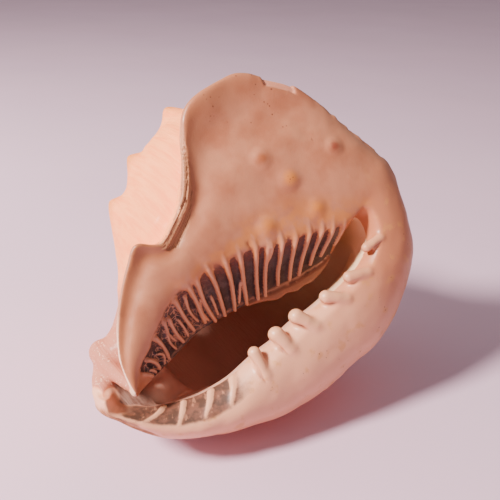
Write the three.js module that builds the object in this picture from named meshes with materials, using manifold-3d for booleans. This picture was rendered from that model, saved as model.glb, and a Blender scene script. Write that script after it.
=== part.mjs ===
// A helmet shell, as a sea shell on a table: one hollow solid with its body whorl and low spire, the broad
// shield beside the mouth, the thick toothed lip, the folds on the pillar side and the turned-back canal.
//
// Lengths are millimetres and angles degrees. The shell is drawn in its own frame first:
// x runs along the coiling axis from the canal end to the spire, y from the lip to the shield, and z out of
// the mouth, with z = 0 at the face that the shield and the lip share. It is then turned to lie as it rests.
import * as THREE from "three";
import { LoftGeometry } from "three/addons/geometries/LoftGeometry.js";
import { mergeVertices } from "three/addons/utils/BufferGeometryUtils.js";
import Module from "manifold-3d";

// Coiling
const AXIS = { y: 10, z: -68 };
const APEX_X = 205;
const FLATTEN = 0.8;
const LIP_ANGLE = 345;
const LAST_WHORL_SHRINK = 0.87;
const WHORL_RATIO = 0.7;
const WHORLS = 5;
const LIP_FLARE_TURN = 0.06;

// Outline of the last whorl: distance from the apex along the axis, and radius
const WHORL_OUTLINE = [
  [43, 66],
  [50, 88],
  [57, 104],
  [66, 108],
  [80, 107],
  [93, 104],
  [115, 95],
  [137, 82],
  [157, 70],
  [168, 51],
  [180, 33],
  [190, 20],
  [212, 3],
];

// Wall behind the lip, where the last whorl opens out: place along the axis, radius, and the angle it ends at
const LIP_WALL = [
  [-6, 22, 300],
  [2, 44, 305],
  [10, 60, 310],
  [22, 76, 318],
  [40, 92, 325],
  [70, 102, 335],
  [110, 106, 350],
  [150, 106, 378],
  [166, 104, 378],
  [178, 97, 378],
  [188, 84, 378],
  [195, 66, 378],
  [201, 22, 378],
];
const BODY_STATIONS = [
  4, 13, 22, 30, 38, 46, 56, 66, 78, 90, 102, 114, 126, 135, 142, 148, 154, 160, 166, 171, 176, 181, 186, 191,
  196, 201,
];
const BODY_SIDES = 40;
const BEHIND_FACE = -8;
const LIP_WALL_ANGLES = { start: 190, full: 300, fade: 34 };

// Rows of knobs on the whorl: distance from the apex, first angle, step, count, half width and height
const KNOB_ROWS = [
  { fromApex: 68, first: 94, step: 37, count: 6, width: 13, height: 10 },
  { fromApex: 117, first: 93, step: 38, count: 6, width: 12, height: 10 },
  { fromApex: 149, first: 97, step: 46, count: 5, width: 14, height: 9 },
];

// Outer rim of the face, from the shield's tip round the spire end to the lip's tip at the canal
const RIM = [
  [0, -17, -3],
  [4, 2, 3],
  [14, 19, 6],
  [31, 37, 8],
  [45, 48, 9],
  [55, 54, 9],
  [67, 46, 5],
  [81, 51, 6],
  [96, 60, 7],
  [108, 74, 8],
  [120, 92, 9],
  [132, 102, 9],
  [150, 104, 8],
  [170, 101, 6],
  [186, 88, 4],
  [200, 72, 3],
  [209, 53, -1],
  [218, 30, -6],
  [226, 8, -10],
  [231, -8, -13],
  [227, -28, -16],
  [219, -53, -19],
  [209, -71, -21],
  [187, -88, -22],
  [156, -101, -22],
  [124, -102, -22],
  [97, -102, -22],
  [68, -96, -22],
  [41, -84, -22],
  [18, -70, -21],
  [1, -56, -19],
  [-9, -41, -16],
  [-17, -24, -14],
  [-22, -13, -17],
  [-18, -5, -24],
];

// Edge of the mouth at the same stations
const MOUTH_EDGE = [
  [1, -19, -6],
  [12, -19, -14],
  [24, -19, -20],
  [38, -18, -24],
  [49, -17, -26],
  [60, -17, -28],
  [66, -18, -28],
  [77, -20, -28],
  [92, -23, -28],
  [104, -26, -28],
  [114, -29, -28],
  [123, -31, -28],
  [131, -33, -28],
  [139, -34, -28],
  [146, -35, -28],
  [152, -36, -28],
  [159, -35, -27],
  [168, -31, -25],
  [177, -25, -22],
  [183, -20, -16],
  [189, -25, -13],
  [184, -38, -10],
  [169, -47, -8],
  [150, -50, -8],
  [127, -50, -8],
  [107, -48, -8],
  [90, -49, -8],
  [72, -48, -9],
  [52, -49, -11],
  [33, -46, -13],
  [20, -41, -14],
  [8, -35, -16],
  [-2, -28, -18],
  [-10, -20, -22],
  [-10, -11, -27],
];

// How the face is built between them: station, depth of the plate, height of the rim's edge, share of the
// width that slopes into the mouth, and how far the section is the shield's rather than the lip's
const PLATE = [
  [0, 4, 1, 0.4, 1],
  [1, 12, 2, 0.45, 1],
  [3, 26, 3, 0.42, 1],
  [5.4, 30, 4, 0.46, 1],
  [6, 34, 20, 0.5, 1],
  [7, 34, 20, 0.5, 1],
  [8, 34, 15, 0.42, 1],
  [9.5, 36, 7, 0.32, 1],
  [11, 36, 4, 0.23, 1],
  [13, 36, 4, 0.2, 1],
  [16, 34, 5, 0.2, 1],
  [17, 30, 6, 0.2, 0.9],
  [18, 27, 7, 0.2, 0.7],
  [19, 25, 8, 0.2, 0.4],
  [20, 23, 8, 0.2, 0.15],
  [21, 21, 8, 0.18, 0],
  [29, 20, 8, 0.18, 0],
  [31, 20, 7, 0.3, 0],
  [34, 18, 3, 0.4, 0],
];

// Section of the face, from the mouth's edge over the top to the rim and back underneath. The first value
// runs from 0 at the mouth's edge through 1 at the crest to 2 at the rim. Then come the shares of the mouth
// edge's height and of the rim's, the height added, and the shares of the rim's edge and of the plate's depth.
const SHIELD_SECTION = [
  [0, 1, 0, 0, 0, 0],
  [0.45, 0.6, 0, 0, 0, 0],
  [0.8, 0.22, 0, 0, 0, 0],
  [1, 0.04, 0, 0.3, 0, 0],
  [1.25, 0, 0, 2.5, 0, 0],
  [1.5, 0, 0, 3.5, 0, 0],
  [1.72, 0, 0, 0.5, 0, 0],
  [1.86, 0, 0.4, -0.5, 0, 0],
  [1.96, 0, 0.9, 0, 0, 0],
  [2, 0, 1, -1, 0, 0],
  [2, 0, 1, -1, 1, 0],
  [1.94, 0, 1, -2, 1, 0.06],
  [1.8, 0, 0.5, -4, 1, 0.4],
  [1.4, 0, 0, -4, 0, 1],
  [0.5, 1, 0, 0, 0, 0.9],
  [0, 1, 0, 0, 0, 0.4],
];
const LIP_SECTION = [
  [0, 1, 0, 0, 0, 0],
  [0.35, 0.4, 0, 0, 0, 0],
  [0.75, 0.08, 0, 0.2, 0, 0],
  [1, 0, 0, 0.6, 0, 0],
  [1.25, 0, 0, 0.4, 0, 0],
  [1.5, 0, 0.09, 0, 0, 0],
  [1.74, 0, 0.32, 0, 0, 0],
  [1.92, 0, 0.68, 0, 0, 0],
  [2, 0, 1, 0, 0, 0],
  [1.99, 0, 1, 0, 0.5, 0],
  [1.9, 0, 1, 0, 1, 0.1],
  [1.7, 0, 1, 0, 1, 0.6],
  [1.35, 0, 1, 0, 1, 0.9],
  [1, 0, 1, 0, 1, 0.8],
  [0.4, 0, 1, 0, 0.6, 0.2],
  [0, 1, 0, 0, 0, 0.4],
];
const FACE_STEPS_PER_STATION = 2;
const CREST_POINT = 3;
const FACE_STATIONS = RIM.length;

// The hollow of the last whorl: its ends along the axis, its angles round it, and the wall left outside it
const HOLLOW = { start: 28, end: 184, from: 118, to: 322, pillar: 27, wall: 7 };
const HOLLOW_STEPS = { stations: 13, arc: 16, pillar: 7 };
const MOUTH_FLOOR = { least: -24, slope: 0.6, most: -62 };

// Canal: places and radii along its outside and along its groove
const SNOUT = [
  [80, 10, -58, 50],
  [58, 4, -51, 38],
  [38, 0, -46, 28],
  [22, 0, -41, 20],
  [9, 2, -40, 16],
  [10, 1, -52, 14.5],
  [14, 2, -64, 13],
  [19, 4, -75, 11],
  [22, 5, -82, 7],
];
const CANAL_OUTSIDE = [
  [44, -40, -52, 24],
  [16, -32, -46, 19],
  [1, -24, -43, 16],
  [-2, -13, -45, 13.5],
  [2, -8, -55, 13],
  [8, -3, -65, 13],
  [14, 1, -76, 11.5],
  [17, 3, -82, 8],
];
const CANAL_GROOVE = [
  [75, -38, -60, 21],
  [45, -34, -46, 17],
  [20, -28, -34, 12],
  [3, -20, -31, 8.5],
  [-3, -12, -37, 7],
  [-2, -8, -50, 6.5],
  [4, -3, -62, 6],
  [11, 1, -76, 5.5],
  [17, 4, -94, 5.5],
];
// Thin edge between the shield's tip and the canal's outside
const CANAL_EDGE = [
  [2, 10, -40, 9],
  [0, 2, -29, 6.5],
  [1, -7, -19, 5],
  [2, -14, -10, 3.5],
  [1, -17, -5, 2],
];
const CANAL_SIDES = 12;

// Teeth of the lip: station of the tip, station where the root fades, section place of the root, radius
const TEETH = [
  [21.6, 21.0, 1.0, 3.8],
  [22.9, 22.5, 1.15, 4.2],
  [23.9, 23.5, 1.2, 4.8],
  [25, 24.7, 1.25, 5.2],
  [26.1, 25.95, 1.3, 5.2],
  [27.1, 27.1, 1.3, 4.6],
  [27.9, 28.2, 1.25, 3.6],
  [28.6, 29.3, 1.25, 3.4],
  [29.9, 30.5, 1.2, 2.6],
  [30.8, 32, 1.1, 2.4],
];
const TOOTH_OVERHANG = 6;

// Folds beside the mouth: station and section place of the lower end, then of the upper end
const FOLDS = [
  [1.4, 0.1, 1.2, 0.7],
  [1.9, 0.1, 1.9, 0.8],
  [2.5, 0.1, 2.7, 0.9],
  [3.6, 0.1, 3.7, 0.8],
  [4.5, 0.1, 4.6, 0.9],
  [5.6, 0.1, 5.9, 1],
  [6.4, 0, 6.5, 1],
  [7, 0, 7.2, 1.05],
  [7.5, 0, 8, 1.05],
  [8.1, 0, 8.9, 1.05],
  [8.8, 0, 10, 1.05],
  [9.3, 0, 10.8, 1.05],
  [10.4, 0.1, 11.7, 1.05],
  [11.4, 0.1, 12.6, 1.05],
  [12.3, 0.1, 13.6, 1.05],
  [13.5, 0.2, 14.6, 1.05],
  [14.7, 0.3, 15.5, 1.05],
  [16.4, 0.3, 16.5, 1],
];
const FOLD_RADIUS = 2.4;

// Knobs that show through the shield: x, y and half width
const SHIELD_KNOBS = [
  [151, 49, 8],
  [197, 26, 7],
  [159, 28, 9],
  [163, 2, 8],
  [129, 13, 8],
];

// Half section of a knob: shares of its half width and of its height. It starts a little inside the wall.
const KNOB_SINK = 2;
const KNOB_PROFILE = [
  [0, -0.5],
  [1, -0.5],
  [1, 0],
  [0.72, 0.36],
  [0.4, 0.76],
  [0, 1],
].map(([out, up]) => new THREE.Vector2(out, up));

// How far the finished surface may be simplified
const SMALLEST = 0.66;

// Directions in the shell's own frame that point down and to the front once it rests
const REST = { down: [-0.4653, -0.7584, -0.4565], front: [-0.254, 0.134, 0.958] };

const radians = THREE.MathUtils.degToRad;
const { lerp, clamp, smoothstep, euclideanModulo } = THREE.MathUtils;

const wasm = await Module();
wasm.setup();

// A closed three.js geometry as a solid.
function solidOf(geometry) {
  const bare = new THREE.BufferGeometry();
  bare.setAttribute("position", geometry.getAttribute("position"));
  bare.setIndex(geometry.index);
  const merged = mergeVertices(bare, 1e-3);
  return new wasm.Manifold(
    new wasm.Mesh({
      numProp: 3,
      vertProperties: new Float32Array(merged.attributes.position.array),
      triVerts: new Uint32Array(merged.index.array),
    }),
  );
}

// The values of a table at row t, with every column running smoothly from row to row.
function rowAt(table, t) {
  const row = clamp(Math.floor(t), 0, table.length - 2);
  const share = t - row;
  const pick = (index) => table[clamp(index, 0, table.length - 1)];
  const [before, from, to, after] = [pick(row - 1), pick(row), pick(row + 1), pick(row + 2)];
  return from.map((value, column) => {
    const slopeIn = (to[column] - before[column]) / 2;
    const slopeOut = (after[column] - value) / 2;
    const s2 = share * share;
    const s3 = s2 * share;
    return (
      value * (2 * s3 - 3 * s2 + 1) +
      slopeIn * (s3 - 2 * s2 + share) +
      to[column] * (3 * s2 - 2 * s3) +
      slopeOut * (s3 - s2)
    );
  });
}

// The values beside a key in a table whose first column is the key, in straight runs between its rows.
function keyed(table, key) {
  const last = table.length - 1;
  if (key <= table[0][0]) return table[0].slice(1);
  for (let i = 0; i < last; i++) {
    const [from, to] = [table[i], table[i + 1]];
    if (key > to[0]) continue;
    const share = (key - from[0]) / (to[0] - from[0]);
    return from.slice(1).map((value, column) => lerp(value, to[column + 1], share));
  }
  return table[last].slice(1);
}

// Size of the coil a number of turns back from the lip.
function whorlScale(turns) {
  if (turns >= 1) return LAST_WHORL_SHRINK * WHORL_RATIO ** (turns - 1);
  if (turns < LIP_FLARE_TURN) {
    return lerp(LAST_WHORL_SHRINK, 1, smoothstep(turns, 0, LIP_FLARE_TURN));
  }
  return lerp(1, LAST_WHORL_SHRINK, (turns - LIP_FLARE_TURN) / (1 - LIP_FLARE_TURN));
}

const turnsBack = (angle) => euclideanModulo(LIP_ANGLE - angle, 360) / 360;

// Outer radius of the coil at an angle round the axis and a place along it.
function coilRadius(angle, x) {
  let radius = 2;
  for (let whorl = 0; whorl <= WHORLS; whorl++) {
    const scale = whorlScale(turnsBack(angle) + whorl);
    const fromApex = (APEX_X - x) / scale;
    if (fromApex >= WHORL_OUTLINE[0][0]) {
      radius = Math.max(radius, scale * keyed(WHORL_OUTLINE, fromApex)[0]);
    }
  }
  const turn = 90 + euclideanModulo(angle - 90, 360);
  const { start, full, fade } = LIP_WALL_ANGLES;
  const [wall, end] = keyed(LIP_WALL, x);
  const opened = smoothstep(turn, start, full) * (1 - smoothstep(turn, end, end + fade));
  return lerp(radius, Math.max(radius, wall), opened);
}

// A point at an angle round the axis. Angle 0 is out of the mouth side and 90 is on the shield side.
function around(angle, radius, x) {
  return new THREE.Vector3(
    x,
    AXIS.y + radius * Math.sin(radians(angle)),
    AXIS.z + FLATTEN * radius * Math.cos(radians(angle)),
  );
}

function bodyGeometry() {
  const sections = BODY_STATIONS.map((x) =>
    Array.from({ length: BODY_SIDES }, (_, i) => {
      const angle = (-360 * i) / BODY_SIDES;
      const point = around(angle, coilRadius(angle, x), x);
      return point.setZ(Math.min(point.z, BEHIND_FACE));
    }),
  );
  return new LoftGeometry(sections, { capStart: true, capEnd: true });
}

// The points round the face's section at a station, mouth's edge first.
function faceSection(station) {
  const [rimX, rimY, rimZ] = rowAt(RIM, station);
  const [innerX, innerY, innerZ] = rowAt(MOUTH_EDGE, station);
  const [depth, edge, slope, shield] = keyed(PLATE, station);
  return SHIELD_SECTION.map((shieldPoint, i) => {
    const [place, fromInner, fromRim, added, edgeShare, below] = shieldPoint.map((value, column) =>
      lerp(LIP_SECTION[i][column], value, shield),
    );
    const across = place < 1 ? place * slope : slope + (place - 1) * (1 - slope);
    return new THREE.Vector3(
      lerp(innerX, rimX, across),
      lerp(innerY, rimY, across),
      fromInner * innerZ + fromRim * rimZ + added * Math.min(1, depth / 20) - edgeShare * edge - below * depth,
    );
  });
}

// A point of the face's upper side at a station and a place from 0 at the mouth's edge to 2 at the rim.
function facePoint(station, place) {
  const shield = keyed(PLATE, station)[3];
  const points = faceSection(station);
  const places = SHIELD_SECTION.map((row, i) => lerp(LIP_SECTION[i][0], row[0], shield));
  let i = 0;
  while (i < 8 && places[i + 1] < place) i++;
  const share = (place - places[i]) / (places[i + 1] - places[i]);
  return points[i].clone().lerp(points[i + 1], share);
}

function faceGeometry() {
  const steps = (FACE_STATIONS - 1) * FACE_STEPS_PER_STATION;
  const sections = [];
  for (let i = 0; i <= steps; i++) sections.push(faceSection(i / FACE_STEPS_PER_STATION).reverse());
  return new LoftGeometry(sections, { capStart: true, capEnd: true });
}

// A tapering round bar along rows of x, y, z and radius, smooth between them.
function barGeometry(rows, sides, stepsPerRow = 1) {
  const count = (rows.length - 1) * stepsPerRow;
  const places = Array.from({ length: count + 1 }, (_, i) => rowAt(rows, i / stepsPerRow));
  const centres = places.map(([x, y, z]) => new THREE.Vector3(x, y, z));
  const turn = new THREE.Quaternion();
  let before = new THREE.Vector3(1, 0, 0);
  const sections = places.map((place, i) => {
    const along = centres[Math.min(i + 1, count)].clone().sub(centres[Math.max(i - 1, 0)]).normalize();
    turn.premultiply(new THREE.Quaternion().setFromUnitVectors(before, along));
    before = along;
    return Array.from({ length: sides }, (_, k) => {
      const angle = (-2 * Math.PI * k) / sides;
      return new THREE.Vector3(0, Math.sin(angle) * place[3], Math.cos(angle) * place[3])
        .applyQuaternion(turn)
        .add(centres[i]);
    });
  });
  return new LoftGeometry(sections, { capStart: true, capEnd: true });
}

// How deep the mouth is cut at a point of its edge: less towards the canal, whose floor is solid.
function mouthFloor({ x, z }) {
  const { least, slope, most } = MOUTH_FLOOR;
  return Math.min(z - 8, Math.max(most, least - slope * Math.max(0, x + 10)));
}

// What is cut from the whorl above the mouth and down its sloping sides.
function mouthGeometry() {
  const crest = (section, lift) => section[CREST_POINT].clone().setZ(lift);
  const rings = [
    (section) => crest(section, 30),
    (section) => crest(section, Math.max(section[CREST_POINT].z, -2) - 1),
    (section) => section[1].clone().lerp(section[0], 0.5).add(new THREE.Vector3(0, 0, -3)),
    (section) => section[0].clone().setZ(mouthFloor(section[0])),
  ];
  const sections = Array.from({ length: FACE_STATIONS }, (_, i) => faceSection(i));
  return new LoftGeometry(
    rings.map((ring) => sections.map(ring)),
    { capStart: true, capEnd: true },
  );
}

function hollowGeometry() {
  const { start, end, from, to, pillar, wall } = HOLLOW;
  const steps = HOLLOW_STEPS;
  const sections = Array.from({ length: steps.stations }, (_, i) => {
    const share = (i / (steps.stations - 1)) * 2 - 1;
    const x = lerp(start, end, (Math.sin((share * Math.PI) / 2) + 1) / 2);
    const fullness = 0.08 + 0.92 * Math.sqrt(Math.max(0, 1 - share ** 4));
    const outer = Array.from({ length: steps.arc + 1 }, (_, k) => {
      const angle = lerp(to, from, k / steps.arc);
      const reach = Math.max(pillar + 2, coilRadius(angle, x) - wall);
      return around(angle, lerp(pillar, reach, fullness), x);
    });
    const inner = Array.from({ length: steps.pillar + 1 }, (_, k) =>
      around(lerp(from, to, k / steps.pillar), pillar - 3 * fullness, x),
    );
    return [...outer, ...inner];
  });
  return new LoftGeometry(sections, { capStart: true, capEnd: true });
}

function knobGeometries() {
  return KNOB_ROWS.flatMap(({ fromApex, first, step, count, width, height }) =>
    Array.from({ length: count }, (_, i) => {
      const angle = first + step * i;
      const scale = whorlScale(turnsBack(angle));
      const x = APEX_X - scale * fromApex;
      const radius = coilRadius(angle, x);
      const knob = new THREE.LatheGeometry(KNOB_PROFILE, 8);
      const outward = around(angle, 1, 0).sub(around(angle, 0, 0)).normalize();
      const turn = new THREE.Quaternion().setFromUnitVectors(new THREE.Vector3(0, 1, 0), outward);
      const place = around(angle, radius - KNOB_SINK, x);
      const size = new THREE.Vector3(width, height, width).multiplyScalar(scale);
      return knob.applyMatrix4(new THREE.Matrix4().compose(place, turn, size));
    }),
  );
}

function toothGeometry([tip, root, rootPlace, radius]) {
  const edge = facePoint(tip, 0.35);
  const crest = facePoint(lerp(tip, root, 0.35), 1);
  const end = facePoint(root, rootPlace);
  const out = edge.clone().sub(crest).setZ(0).normalize();
  const nose = edge.clone().addScaledVector(out, TOOTH_OVERHANG - radius * 0.5);
  return barGeometry(
    [
      [nose.x + out.x * radius, nose.y + out.y * radius, nose.z - 1, radius * 0.35],
      [nose.x, nose.y, nose.z, radius],
      [crest.x, crest.y, crest.z - radius * 0.1, radius * 0.85],
      [lerp(crest.x, end.x, 0.6), lerp(crest.y, end.y, 0.6), end.z - radius * 0.15, radius * 0.55],
      [end.x, end.y, end.z - 1.2, radius * 0.25],
    ],
    7,
  );
}

function foldGeometry([low, lowPlace, high, highPlace]) {
  const steps = [0, 0.34, 0.67, 1];
  const radii = [0.7, 1, 1, 0.6];
  return barGeometry(
    steps.map((share, i) => {
      const { x, y, z } = facePoint(lerp(low, high, share), lerp(lowPlace, highPlace, share));
      return [x, y, z + 0.9 - share, FOLD_RADIUS * radii[i]];
    }),
    6,
  );
}

function shieldKnobGeometry([x, y, width]) {
  const knob = new THREE.LatheGeometry(KNOB_PROFILE, 8).rotateX(Math.PI / 2);
  return knob.scale(width, width, width / 2).translate(x, y, KNOB_SINK);
}

function shellSolid() {
  const join = (geometries) => geometries.map(solidOf).reduce((all, one) => all.add(one));
  const coil = join([bodyGeometry(), ...knobGeometries()]);
  const canal = join([barGeometry(SNOUT, CANAL_SIDES), barGeometry(CANAL_OUTSIDE, CANAL_SIDES)]);
  const inside = join([hollowGeometry(), mouthGeometry()]);
  const face = solidOf(faceGeometry());
  const groove = solidOf(barGeometry(CANAL_GROOVE, CANAL_SIDES, 2));
  const relief = join([
    barGeometry(CANAL_EDGE, CANAL_SIDES),
    ...FOLDS.map(foldGeometry),
    ...TEETH.map(toothGeometry),
    ...SHIELD_KNOBS.map(shieldKnobGeometry),
  ]);
  return coil.add(canal).subtract(inside).add(face).subtract(groove).add(relief).simplify(SMALLEST);
}

function geometryOf(manifold) {
  const mesh = manifold.getMesh();
  const geometry = new THREE.BufferGeometry();
  geometry.setAttribute("position", new THREE.BufferAttribute(mesh.vertProperties, 3));
  geometry.setIndex(new THREE.BufferAttribute(mesh.triVerts, 1));
  geometry.computeVertexNormals();
  return geometry;
}

const shell = new THREE.Mesh(
  geometryOf(shellSolid()),
  new THREE.MeshStandardMaterial({ color: 0xe0b79c, roughness: 0.45, metalness: 0 }),
);
shell.name = "shell";

// Turns the shell so that it rests on its knobs with the mouth turned up towards the front.
function restTurn() {
  const up = new THREE.Vector3(...REST.down).normalize().negate();
  const back = new THREE.Vector3(...REST.front).projectOnPlane(up).normalize().negate();
  const right = back.clone().cross(up);
  const turn = new THREE.Matrix4().makeBasis(right, back, up).transpose();
  return new THREE.Quaternion().setFromRotationMatrix(turn);
}

shell.quaternion.copy(restTurn());
const box = new THREE.Box3().setFromObject(shell, true);
shell.position.set(-(box.min.x + box.max.x) / 2, -(box.min.y + box.max.y) / 2, -box.min.z);

const part = new THREE.Group();
part.add(shell);
export default part;
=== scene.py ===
"""A helmet shell resting on a pale table with its mouth turned up to the front.

The shell is worked out in its own frame, in millimetres: x runs along the coiling axis from the canal end to
the spire, y from the lip to the shield and z out of the mouth, with z = 0 at the face. Its parts are distance
fields on one grid, joined and cut with soft seams, and the finished skin is turned to lie as the shell rests.
"""
import math
from types import SimpleNamespace

import bpy
import numpy as np
import openvdb
from mathutils import Matrix, Vector
from mathutils.kdtree import KDTree

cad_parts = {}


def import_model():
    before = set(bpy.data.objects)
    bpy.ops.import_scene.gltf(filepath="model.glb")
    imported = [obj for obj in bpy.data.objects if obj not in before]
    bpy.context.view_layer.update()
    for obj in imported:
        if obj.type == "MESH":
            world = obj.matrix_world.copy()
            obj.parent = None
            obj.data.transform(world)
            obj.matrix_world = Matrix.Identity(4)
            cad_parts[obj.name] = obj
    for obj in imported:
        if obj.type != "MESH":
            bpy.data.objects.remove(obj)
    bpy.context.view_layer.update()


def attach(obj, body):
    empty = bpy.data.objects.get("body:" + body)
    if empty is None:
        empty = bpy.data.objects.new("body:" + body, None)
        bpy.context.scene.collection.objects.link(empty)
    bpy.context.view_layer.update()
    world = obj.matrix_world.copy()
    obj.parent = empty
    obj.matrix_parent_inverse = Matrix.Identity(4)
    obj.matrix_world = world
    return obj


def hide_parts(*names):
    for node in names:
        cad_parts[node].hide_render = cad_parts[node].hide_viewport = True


MM = 0.001

# Coiling: the axis and its far end, and how the whorls shrink from the lip's angle back
AXIS_Y, AXIS_Z = 10.0, -68.0
APEX_X = 205.0
FLATTEN = 0.8
LIP_ANGLE = 345.0
LAST_WHORL_SHRINK = 0.87
WHORL_RATIO = 0.7
WHORLS = 5
LIP_FLARE_TURN = 0.06

# Outline of the last whorl: distance from the apex along the axis, and radius
WHORL_OUTLINE = [
    (43, 66), (50, 88), (57, 104), (66, 108), (80, 107), (93, 104), (115, 95), (137, 82), (157, 70),
    (168, 51), (180, 33), (190, 20), (212, 3),
]

# Wall behind the lip: place along the axis, radius, and the angle it ends at
LIP_WALL = [
    (-6, 22, 300), (2, 44, 305), (10, 60, 310), (22, 76, 318), (40, 92, 325), (70, 102, 335), (110, 106, 350),
    (150, 106, 378), (166, 104, 378), (178, 97, 378), (188, 84, 378), (195, 66, 378), (201, 22, 378),
]
LIP_WALL_START, LIP_WALL_FULL, LIP_WALL_FADE = 190.0, 300.0, 34.0
# Height of the coil's highest points, just behind the face
BEHIND_FACE = -8.0
# Rings of the coil: first place along the axis, last place and their number, and the points round them
BODY_PLACES = ((4, 130, 110), (131, 202, 110))
BODY_POINTS = 300

# Rows of knobs: distance from the apex, first angle, step, count, half width and height
KNOB_ROWS = [
    (68, 94, 37, 6, 13, 9),
    (117, 93, 38, 6, 12, 10),
    (149, 97, 46, 5, 14, 8),
]

# Outer rim of the face, from the shield's tip round the spire end to the lip's tip at the canal
RIM = [
    (0, -17, -3), (4, 2, 1), (14, 19, 2), (31, 37, 3), (45, 48, 4), (55, 54, 6), (67, 46, 5), (81, 51, 5),
    (96, 60, 5), (108, 74, 5), (120, 92, 6), (132, 102, 6), (150, 104, 6), (170, 101, 5), (186, 88, 4),
    (200, 72, 3), (209, 53, -1), (218, 30, -6), (226, 8, -10), (231, -8, -13), (227, -28, -16),
    (219, -53, -19), (209, -71, -21), (187, -88, -22), (156, -101, -22), (124, -102, -22), (97, -102, -22),
    (68, -96, -22), (41, -84, -22), (18, -70, -21), (1, -56, -19), (-9, -41, -16), (-17, -24, -14),
    (-22, -13, -17), (-18, -5, -24),
]

# Edge of the mouth at the same stations
MOUTH_EDGE = [
    (1, -19, -6), (12, -19, -14), (24, -19, -20), (38, -18, -24), (49, -17, -26), (60, -17, -28),
    (66, -18, -28), (77, -20, -28), (92, -23, -28), (104, -26, -28), (114, -29, -28), (123, -31, -28),
    (131, -33, -28), (139, -34, -28), (146, -35, -28), (152, -36, -28), (159, -35, -27), (168, -31, -25),
    (177, -25, -22), (183, -20, -16), (189, -25, -13), (184, -38, -10), (169, -47, -8), (150, -50, -8),
    (127, -50, -8), (107, -48, -8), (90, -49, -8), (72, -48, -9), (52, -49, -11), (33, -46, -13),
    (20, -41, -14), (8, -35, -16), (-2, -28, -18), (-10, -20, -22), (-10, -11, -27),
]

# Station, depth of the plate, height of the rim's edge, share of the width that slopes into the mouth,
# and how far the section is the shield's rather than the lip's
PLATE = [
    (0, 4, 1, 0.4, 1), (1, 12, 2, 0.45, 1), (3, 26, 3, 0.42, 1), (5.4, 30, 4, 0.46, 1), (6, 34, 20, 0.5, 1),
    (7, 34, 20, 0.5, 1), (8, 34, 15, 0.42, 1), (9.5, 36, 7, 0.32, 1), (11, 36, 4, 0.23, 1),
    (13, 36, 4, 0.2, 1), (16, 34, 5, 0.2, 1), (17, 30, 6, 0.2, 0.9), (18, 27, 7, 0.2, 0.7),
    (19, 25, 8, 0.17, 0.4), (20, 23, 8, 0.14, 0.15), (21, 21, 8, 0.14, 0), (26.5, 20, 8, 0.18, 0),
    (28.2, 20, 8, 0.46, 0), (30, 20, 7, 0.58, 0), (32, 20, 6, 0.6, 0), (34, 18, 3, 0.6, 0),
]

# Section of the face from the mouth's edge over the top to the rim and back underneath: place across, shares
# of the mouth edge's and the rim's height, height added, shares of the rim's edge and of the plate's depth
SHIELD_SECTION = [
    (0, 1, 0, 0, 0, 0), (0.45, 0.6, 0, 0, 0, 0), (0.8, 0.22, 0, 0, 0, 0), (1, 0.04, 0, 0.3, 0, 0),
    (1.25, 0, 0, 2.5, 0, 0), (1.5, 0, 0, 3.5, 0, 0), (1.72, 0, 0, 1.5, 0, 0), (1.86, 0, 0.4, 0.7, 0, 0),
    (1.96, 0, 0.9, 0, 0, 0), (2, 0, 1, -1, 0, 0), (2, 0, 1, -1, 1, 0), (1.94, 0, 1, -2, 1, 0.06),
    (1.8, 0, 0.5, -4, 1, 0.4), (1.4, 0, 0, -4, 0, 1), (0.5, 1, 0, 0, 0, 0.9), (0, 1, 0, 0, 0, 0.4),
]
LIP_SECTION = [
    (0, 1, 0, 0, 0, 0), (0.35, 0.4, 0, 0, 0, 0), (0.75, 0.08, 0, 0.2, 0, 0), (1, 0, 0, 0.6, 0, 0),
    (1.25, 0, 0, 0.4, 0, 0), (1.5, 0, 0.09, 0, 0, 0), (1.74, 0, 0.32, 0, 0, 0), (1.92, 0, 0.68, 0, 0, 0),
    (2, 0, 1, 0, 0, 0), (1.99, 0, 1, 0, 0.5, 0), (1.9, 0, 1, 0, 1, 0.1), (1.7, 0, 1, 0, 1, 0.6),
    (1.35, 0, 1, 0, 1, 0.9), (1, 0, 1, 0, 1, 0.8), (0.4, 0, 1, 0, 0.6, 0.2), (0, 1, 0, 0, 0, 0.4),
]
# Points of a section: its crest, the last on top, and the last on the rim's side
CREST_POINT, TOP_POINTS, SIDE_POINTS = 3, 8, 9
SECTION_STEPS, STATION_STEPS = 5, 8

# Hollow of the last whorl, round the pillar in its middle
HOLLOW_X = (28.0, 184.0)
HOLLOW_ANGLES = (118.0, 322.0)
HOLLOW_STATIONS, HOLLOW_ARC, PILLAR_ARC = 60, 72, 24
HOLLOW_END_SHARE = 0.08
PILLAR, PILLAR_WAIST, PILLAR_GAP = 27.0, 3.0, 2.0
WALL = 7.0
MOUTH_TOP = 24.0
MOUTH_FLOOR_LEAST, MOUTH_FLOOR_SLOPE, MOUTH_FLOOR_MOST = -24.0, 0.6, -62.0

# Canal: places and radii along its outside and along its groove
SNOUT = [
    (80, 10, -58, 50), (58, 4, -51, 38), (38, 0, -46, 28), (22, 0, -41, 20), (9, 2, -40, 16),
    (10, 1, -52, 14.5), (14, 2, -64, 13), (19, 4, -75, 11), (22, 5, -82, 7),
]
CANAL_OUTSIDE = [
    (44, -40, -52, 24), (16, -32, -46, 19), (1, -24, -43, 16), (-2, -13, -45, 13.5), (2, -8, -55, 13),
    (8, -3, -65, 13), (14, 1, -76, 11.5), (17, 3, -82, 8),
]
CANAL_GROOVE = [
    (75, -38, -60, 21), (45, -34, -46, 17), (20, -28, -34, 12), (6, -21, -32, 7.5), (1, -13, -40, 5.5),
    (2, -7, -51, 5), (7, -2, -62, 5), (12, 2, -76, 5), (17, 4, -94, 5),
]
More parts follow.
